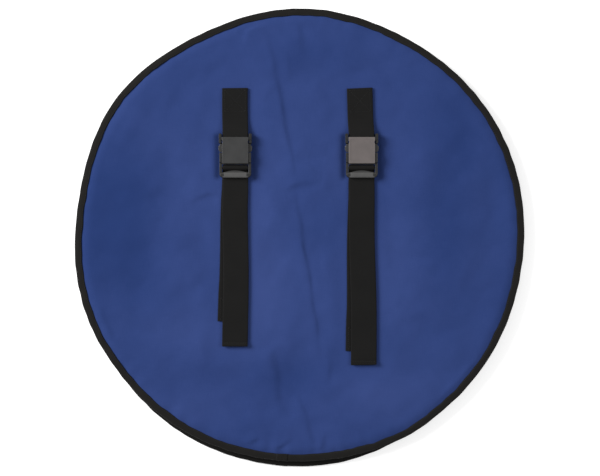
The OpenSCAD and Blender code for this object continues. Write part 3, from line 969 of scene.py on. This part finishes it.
def sewn_press(middle_y, depth=0.16):
    """How far the thread of a sewn box draws the webbing in."""
    lines = [np.array(line)[:, :2] for line in box_lines(middle_y, 0)]

    def press(x, y):
        near = np.full(x.shape, 1e9)
        for line in lines:
            side, _ = from_line(x, y, line)
            near = np.minimum(near, np.abs(side))
        return -depth * np.exp(-((near / 0.9) ** 2))
    return press


def sewn_lines(name, strap, lines, skew, pivot_y):
    placed = [strap.place(even_line(np.array(line, float), 1.0), skew, pivot_y) for line in lines]
    return thread(name, stitches_on(placed))


def arc(centre, radius, start, end, steps):
    turns = np.radians(np.linspace(start, end, steps))
    return [(centre[0] + radius * math.cos(a), centre[1] + radius * math.sin(a)) for a in turns]


def anchor_strap(strap):
    """Short strap: doubled round the socket's bar, and sewn down at its free end."""
    bar_y, bar_z, wrap = strap.BAR_Y, strap.BAR_Z, 2.95
    under_z, fold_over_z = WEBBING_T / 2, 2.5
    path = [(strap.anchor_l, under_z), (bar_y + 24, under_z), (bar_y + 5, bar_z - wrap - 0.2)]
    path += arc((bar_y - 0.9, bar_z), wrap, -90, -270, 12)
    path += [(bar_y + 5, bar_z + wrap - 0.3), (bar_y + 24, fold_over_z)]
    path += [(strap.anchor_l - 0.4, fold_over_z)]
    middle_y = strap.anchor_l - END_GAP - BOX_L / 2
    press = sewn_press(middle_y)
    seed = 51 if strap.side == LEFT else 52

    def sway(x, y):
        free = smoothstep(y, 55, 62) * (1 - smoothstep(y, 74, 84))
        side = 0.35 * np.sin(y / 21 + seed) * smoothstep(y, 48, 66)
        return side, press(x, y) + 0.1 * free * ripple(x, y, 30, seed)

    piece = webbing(strap.body("anchor_webbing"), path, strap, strap.anchor_skew, bar_y, sway)
    stands_for(piece, strap.body("anchor_strap"), strap.cover)
    lines = box_lines(middle_y, fold_over_z + WEBBING_T / 2 + THREAD_LIFT)
    sewn = sewn_lines(strap.body("anchor_thread"), strap, lines, strap.anchor_skew, bar_y)
    stands_for(sewn, strap.body("anchor_stitching"), strap.cover)


def load_strap(strap):
    """Long strap on the cover: sewn down at its lower end, and reaching the plug at the other."""
    end = -strap.hold_l
    path = [(end, WEBBING_T / 2), (-3.2, WEBBING_T / 2)]
    middle_y = end + END_GAP + BOX_L / 2
    press = sewn_press(middle_y)
    phase = 0.4 if strap.side == LEFT else 2.0

    def sway(x, y):
        free = smoothstep(y, end + 40, end + 70) * (1 - smoothstep(y, -60, -35))
        side = 0.7 * np.sin(y / 34 + phase) * free
        return side, press(x, y) + 0.12 * free * ripple(x, y, 60, 55)

    piece = webbing(strap.body("load_webbing"), path, strap, strap.hold_skew, 0, sway)
    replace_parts(piece, strap.body("hold_strap"))
    start, stop = strap.place([(0, end + 45, 0), (0, -12, 0)]) * MM
    strap.body("plug")
    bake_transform(piece)
    lines = box_lines(middle_y, WEBBING_T + THREAD_LIFT)
    sewn = sewn_lines(strap.body("load_thread"), strap, lines, strap.hold_skew, 0)
    stands_for(sewn, strap.body("hold_stitching"), strap.cover)


HEM_L = 6.5


def free_tail(strap):
    """The strap's turn over the plug's crossbar, and its free tail down to the turned hem."""
    tail_z, end = 3.1, -strap.tail_l
    path = [(-4.6, 2.3), (-4.6, 7.0), (-5.6, 8.5), (-7.4, 8.9), (-9.4, 8.5), (-10.8, 7.0), (-11.0, 5.0)]
    path += [(-12.0, 3.5), (-14.5, tail_z), (strap.TAIL_FROM, tail_z), (end + 1.0, tail_z)]
    path += arc((end + 1.0, tail_z + 0.85), 0.85, -90, -270, 7)[1:]
    path += [(end + HEM_L, tail_z + 1.7)]
    phase = 0.0 if strap.side == LEFT else 1.3

    def sway(x, y):
        free = smoothstep(-y, 40, 80)
        side = 0.8 * np.sin(y / 38 + phase) * free
        return side, (0.16 * ripple(x, y, 90, 61) + 0.1) * free

    skew, pivot = strap.tail_skew, strap.TAIL_FROM
    piece = webbing(strap.body("tail_webbing"), path, strap, skew, pivot, sway)
    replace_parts(piece, strap.body("strap_loop"), strap.body("tail_strap"))
    start, stop = strap.place([(0, pivot + 4, 0), (0, pivot - 14, 0)]) * MM
    strap.body("plug")
    strap.body("tail")
    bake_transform(piece)
    y = end + HEM_L - 1.6
    lines = [[(-17.5, y, tail_z + 2.7), (17.5, y, tail_z + 2.7)]]
    sewn = sewn_lines(strap.body("tail_thread"), strap, lines, skew, pivot)
    stands_for(sewn, strap.body("tail_stitching"), strap.body("tail"))


# ---------------- buckles

def slab(outline_points, low, high, bevel=0.5, segments=2, along="z"):
    """A closed solid from an outline, with its edges rounded. Along x, the outline is (y, z)."""
    work = bmesh.new()
    order = {"z": lambda a, b, c: (a, b, c), "x": lambda a, b, c: (c, a, b)}[along]
    base = [work.verts.new(order(a, b, low)) for a, b in outline_points]
    cap = [work.verts.new(order(a, b, high)) for a, b in outline_points]
    work.faces.new(base)
    work.faces.new(cap)
    count = len(base)
    for i in range(count):
        j = (i + 1) % count
        work.faces.new([base[i], base[j], cap[j], cap[i]])
    bmesh.ops.recalc_face_normals(work, faces=work.faces)
    sharp = [e for e in work.edges if e.calc_face_angle(0) > math.radians(32)]
    if bevel:
        bmesh.ops.bevel(work, geom=sharp, offset=bevel, segments=segments, profile=0.5,
                        affect="EDGES", clamp_overlap=True)
    return work


def mesh_object(name, work):
    mesh = bpy.data.meshes.new(name)
    work.to_mesh(mesh)
    work.free()
    thing = bpy.data.objects.new(name, mesh)
    bpy.context.scene.collection.objects.link(thing)
    return thing


def joined(thing, others, operation):
    """Joins solids to a solid, or cuts them out of it."""
    if not others:
        return
    group = bpy.data.collections.new(thing.name + "_tools")
    for other in others:
        group.objects.link(other)
    modifier = thing.modifiers.new(operation, "BOOLEAN")
    modifier.operation, modifier.operand_type, modifier.solver = operation, "COLLECTION", "EXACT"
    modifier.collection = group
    bpy.context.view_layer.update()
    made = bpy.data.meshes.new_from_object(thing.evaluated_get(bpy.context.evaluated_depsgraph_get()))
    thing.modifiers.clear()
    thing.data = made
    for other in others:
        bpy.data.objects.remove(other)
    bpy.data.collections.remove(group)


def solid(name, slabs, material, cuts=(), strap=None):
    """One rigid piece joined from slabs in mm, with cuts taken out, put at its strap's buckle."""
    things = [mesh_object(f"{name}_{i}", s) for i, s in enumerate(slabs)]
    piece = things[0]
    joined(piece, things[1:], "UNION")
    joined(piece, [mesh_object(f"{name}_cut_{i}", s) for i, s in enumerate(cuts)], "DIFFERENCE")
    piece.name = name
    co = np.array([v.co for v in piece.data.vertices])
    if strap is not None:
        co = strap.place(co)
    piece.data.vertices.foreach_set("co", (co * MM).astype(np.float32).ravel())
    piece.data.name = name
    piece.data.materials.clear()
    piece.data.materials.append(MATERIALS[material])
    piece.data.polygons.foreach_set("use_smooth", [True] * len(piece.data.polygons))
    piece.data.set_sharp_from_angle(angle=math.radians(40))
    smooth = piece.modifiers.new("flat faces stay flat", "WEIGHTED_NORMAL")
    smooth.keep_sharp = True
    return piece


def rectangle(x, y, corner=0.0):
    """Outline between two places along X and two along Y, with round corners."""
    (x0, x1), (y0, y1) = sorted(x), sorted(y)
    if not corner:
        return [(x0, y0), (x1, y0), (x1, y1), (x0, y1)]
    points = []
    for cx, cy, start in ((x1, y0, -90), (x1, y1, 0), (x0, y1, 90), (x0, y0, 180)):
        centre = (cx - corner if cx == x1 else cx + corner, cy - corner if cy == y1 else cy + corner)
        points += arc(centre, corner, start, start + 90, 7)
    return points


def mirrored(points, sign):
    return [(sign * a, b) for a, b in points]


# The buckle's own frame has its origin on the cover's face, at the joint line between socket and plug.
# Half widths from the middle line
PLATE_X, RAIL_X, EAR_X, PADS_X = 20.5, 24.7, 25.5, 26
# Places along Y
PLATE_FROM, PLATE_L, FLOOR_L, WINDOW_Y, WING_Y = -1.2, 39.7, 31, 15.6, 34.6
# Heights and thickness
FLOOR_Z, PLATE_T, BUCKLE_H = 0.3, 2.6, 13
CAVITY_TOP = BUCKLE_H - PLATE_T


def plate_outline():
    """Front plate, with a scallop in front of each squeeze pad."""
    scallop = arc((PLATE_X + 2.5, WING_Y - 2.8), 3.4, 222, 138, 9)
    half = [(PLATE_X, PLATE_FROM + 0.8), *scallop, *arc((PLATE_X - 0.9, PLATE_L - 0.9), 0.9, 0, 90, 5)]
    return [(PLATE_X - 0.8, PLATE_FROM), *half, *mirrored(half, -1)[::-1], (0.8 - PLATE_X, PLATE_FROM)]


def buckle_socket(strap):
    shapes = [
        slab(plate_outline(), CAVITY_TOP, BUCKLE_H, 0.6, 3),
        slab(rectangle((-PLATE_X, PLATE_X), (0, FLOOR_L), 1), FLOOR_Z, FLOOR_Z + PLATE_T, 0.4),
        slab(arc((strap.BAR_Y, strap.BAR_Z), 2, 0, 345, 24), -22.5, 22.5, 0, along="x"),
    ]
    for s in (-1, 1):
        x_rail, x_ear = (s * 20, s * RAIL_X), (s * 21.2, s * EAR_X)
        wing = [(20, 35.4), (23.2, 35.3), (EAR_X, 36.6), (EAR_X, 39.7), (24.2, PLATE_L), (20, PLATE_L)]
        shapes.append(slab(mirrored(wing, s), CAVITY_TOP, BUCKLE_H - 1.0, 0.5))
        shapes.append(slab(rectangle(x_rail, (0, WINDOW_Y), 0.8), FLOOR_Z, BUCKLE_H - 0.7, 0.6))
        shapes.append(slab(rectangle(x_ear, (30, 45.4), 1.2), FLOOR_Z, CAVITY_TOP + 0.8, 0.7))
        shapes.append(slab(rectangle((s * 19.5, s * 24.6), (28.5, FLOOR_L)), FLOOR_Z, 2.8, 0.3))
    cuts = [slab(rectangle((s * PLATE_X, s * (PLATE_X + 0.8)), (-2, WINDOW_Y + 1)), 11, BUCKLE_H + 1, 0)
            for s in (-1, 1)]
    cuts += [slab(rectangle((-17.4, 17.4), (3.4, 36.6), 2.2), BUCKLE_H - 0.22, BUCKLE_H + 1, 0)]
    name = strap.body("socket")
    piece = solid(name, shapes, strap.side + "_plate", cuts, strap)
    finish_faces(piece, strap, {
        # The socket's side rails, underside and wings are painted darker: painted shade.
        "rail_plastic_painted_shade": lambda x, y, z: abs(x) > PLATE_X + 0.05 or z < CAVITY_TOP - 0.05,
        "wing_plastic_painted_shade": lambda x, y, z: abs(x) > PLATE_X + 0.05 and y > 28,
    })
    stands_for(piece, strap.body("buckle_socket"), strap.cover)


def finish_faces(piece, strap, finishes):
    """Gives the faces that pass a test, in the buckle's own frame, another finish."""
    for index, (material, test) in enumerate(finishes.items(), 1):
        piece.data.materials.append(MATERIALS[material])
        for face in piece.data.polygons:
            if test(*(np.array(face.center) / MM - strap.origin)):
                face.material_index = index


BAR_FROM, BAR_TO, CORNER_R = -14.9, -23.4, 5.6
BAR_LOW, BAR_HIGH, BAR_ROUND = 4.6, 10, 2.4
GRIP_X, GRIP_OUT = 19, 0.2       # middle stretch of the bar, which stands a little proud and carries a painted highlight


def bar_outline():
    """Outer bar of the plug, with round lower corners."""
    y, x = BAR_TO + CORNER_R, RAIL_X - CORNER_R
    lower = [*arc((-x, y), CORNER_R, 180, 270, 9), *arc((x, y), CORNER_R, 270, 360, 9)]
    return [(RAIL_X, BAR_FROM), (-RAIL_X, BAR_FROM), *lower]


def bow_outline():
    """Low web in front of the bar, whose upper edge bows towards the crossbar."""
    bow = [(x, BAR_FROM + 3.0 * (1 - (x / 17) ** 2)) for x in np.linspace(17, -17, 17)]
    return [(17, BAR_FROM - 2), *bow, (-17, BAR_FROM - 2)]


def buckle_plug(strap):
    inner = (3.3, CAVITY_TOP - 0.3)
    shapes = [
        slab(rectangle((-PLATE_X + 0.3, PLATE_X - 0.3), (-2.5, 6), 0.8), *inner, 0.5),
        slab(rectangle((-RAIL_X + 0.2, RAIL_X - 0.2), (-2.5, -0.3), 0.8), inner[0], 7.6, 0.5),
        slab(rectangle((-3, 3), (5, 28), 1.4), *inner, 0.6),
        slab(arc((-8, 6.0), 1.75, 0, 345, 24), -23, 23, 0, along="x"),
        slab(bar_outline(), BAR_LOW, BAR_HIGH, BAR_ROUND, 5),
        slab(rectangle((-GRIP_X, GRIP_X), (BAR_FROM + GRIP_OUT, BAR_TO - GRIP_OUT)),
             BAR_LOW - GRIP_OUT, BAR_HIGH + GRIP_OUT, BAR_ROUND, 5),
        slab(bow_outline(), 5, 7.8, 0.8, 3),
    ]
    for s in (-1, 1):
        shapes.append(slab(rectangle((s * 20.6, s * RAIL_X), (-0.3, -18)), 2.3, 9.6, 0.7))
    piece = solid(strap.body("plug_body"), shapes, "buckle_plastic", (), strap)
    finish_faces(piece, strap, {
        # The plug's side rails and underside are painted darker: painted shade.
        "rail_plastic_painted_shade": lambda x, y, z: abs(x) > 20.4 or z < 5.2,
        # The middle of the outer bar is painted paler: a painted highlight.
        "bar_plastic_painted_highlight": lambda x, y, z: abs(x) < GRIP_X + 0.01 and y < BAR_FROM + GRIP_OUT and z > 5,
    })
    stands_for(piece, strap.body("buckle_plug"), strap.body("plug"))


def latch_arm(strap, place):
    """Springy arm with a catch and a ribbed squeeze pad. The outer arm faces the cover's edge."""
    outwards = -1 if strap.side == LEFT else 1
    s = outwards if place == "outer" else -outwards
    pad = [(24.4, 17), *arc((22.5, 20.6), 3.5, -22, 0, 4), *arc((22.5, 24.2), 3.5, 0, 58, 6), (23.6, 29.2)]
    root = arc((14.6, 8), 1.6, 180, 270, 4)
    half = [*root, (16.4, 6.4), (17.2, 9), (18.6, 16.4), (23.6, 16.4), *pad]
    half += [(19.5, 29.2), (17.5, 30), (14.5, 30)]
    outline_points = mirrored(half, s)
    shapes = [slab(outline_points, 4.4, 9.4, 0.5, 3)]
    for y in (20.3, 22.0, 23.7, 25.4):
        shapes.append(slab(rectangle((s * 24.6, s * (PADS_X + 0.25)), (y, y + 0.7)), 4.9, 8.9, 0.2))
    piece = solid(strap.body(place + "_arm"), shapes, "buckle_plastic", (), strap)
    stands_for(piece, strap.body(place + "_latch_arm"), strap.body(place + "_latch"))


# ---------------- the whole cover

def build_cover():
    face = front_face(settled_slack())
    front = cloth_disc("front_panel", face, lambda t: front_seam(t) - 2.4, PANEL_T, "blue_fabric")
    x, y, _ = np.array([v.co for v in front.data.vertices]).T / MM
    # Placed patches of painted sheen and painted shade, kept in the tone attribute for the cloth's colour.
    patches = front.data.attributes.new("tone", "FLOAT", "POINT")
    patches.data.foreach_set("value", humps(x, y, SHEEN_AND_SHADE_PATCHES).astype(np.float32))
    bends_at_fold(front, "front_panel")
    back = cloth_disc("back_panel", back_face, lambda t: outline(t) - 2.4, -PANEL_T, "blue_fabric")
    bends_at_fold(back, "back_panel")
    edge_band()
    binding("front_tape", front_seam, FRONT_TAPE_Z, 1, 71, "front_binding")
    binding("back_tape", outline, BACK_TAPE_Z, -1, 81, "back_binding")
    for side in (LEFT, RIGHT):
        foam_half(side)


def finish_zip_metal():
    """The slider and pull keep their CAD shape, with softened edges and enamel."""
    for node in ("zip_slider", "zip_pull"):
        thing = frame["nodes"][node]
        thing.data.materials.clear()
        thing.data.materials.append(MATERIALS["zip_metal"])
        weld = thing.modifiers.new("weld", "WELD")
        weld.merge_threshold = 0.02 * MM
        bevel = thing.modifiers.new("soft edges", "BEVEL")
        bevel.width, bevel.segments, bevel.limit_method = 0.2 * MM, 2, "ANGLE"


def area_light(name, place, power, size):
    """A round lamp aimed at the cover."""
    light = bpy.data.lights.new(name, "AREA")
    light.shape, light.size, light.energy = "DISK", size, power
    thing = bpy.data.objects.new(name, light)
    thing.location = place
    thing.rotation_mode = "QUATERNION"
    thing.rotation_quaternion = Vector(place).to_track_quat("Z", "Y")
    bpy.context.scene.collection.objects.link(thing)


FLOOR_HALF = 6000
SURROUND = 0.40


def studio():
    """White floor, an even white surround, and a broad light from the upper left."""
    corners = [(x * FLOOR_HALF, y * FLOOR_HALF, -0.4) for x, y in ((-1, -1), (1, -1), (1, 1), (-1, 1))]
    make_piece("floor", corners, [[0, 1, 2, 3]], "floor")
    world = bpy.data.worlds.new("surround")
    world.use_nodes = True
    world.node_tree.nodes["Background"].inputs["Color"].default_value = (1, 1, 1, 1)
    world.node_tree.nodes["Background"].inputs["Strength"].default_value = SURROUND
    bpy.context.scene.world = world
    area_light("key", (-3.6, 1.6, 2.4), 265, 2.4)
    area_light("fill", (2.2, 0.2, 2.0), 22, 1.6)


PHOTO_WIDTH = 937.5        # width of the view at the cover's face
LENS, SENSOR = 85, 36


def camera():
    """Straight above the cover, with +Y up."""
    data = bpy.data.cameras.new("camera")
    data.lens, data.sensor_width = LENS, SENSOR
    data.clip_end = 20
    thing = bpy.data.objects.new("camera", data)
    height = TOP + PHOTO_WIDTH * LENS / SENSOR
    thing.location = (0.8 * MM, 0.8 * MM, height * MM)
    bpy.context.scene.collection.objects.link(thing)
    bpy.context.scene.camera = thing


camera()
bpy.context.scene.view_settings.view_transform = "Standard"
build_cover()
zip_strip()
finish_zip_metal()
for one_strap in STRAPS:
    anchor_strap(one_strap)
    load_strap(one_strap)
    free_tail(one_strap)
    buckle_socket(one_strap)
    buckle_plug(one_strap)
    for arm_place in ("outer", "inner"):
        latch_arm(one_strap, arm_place)
studio()
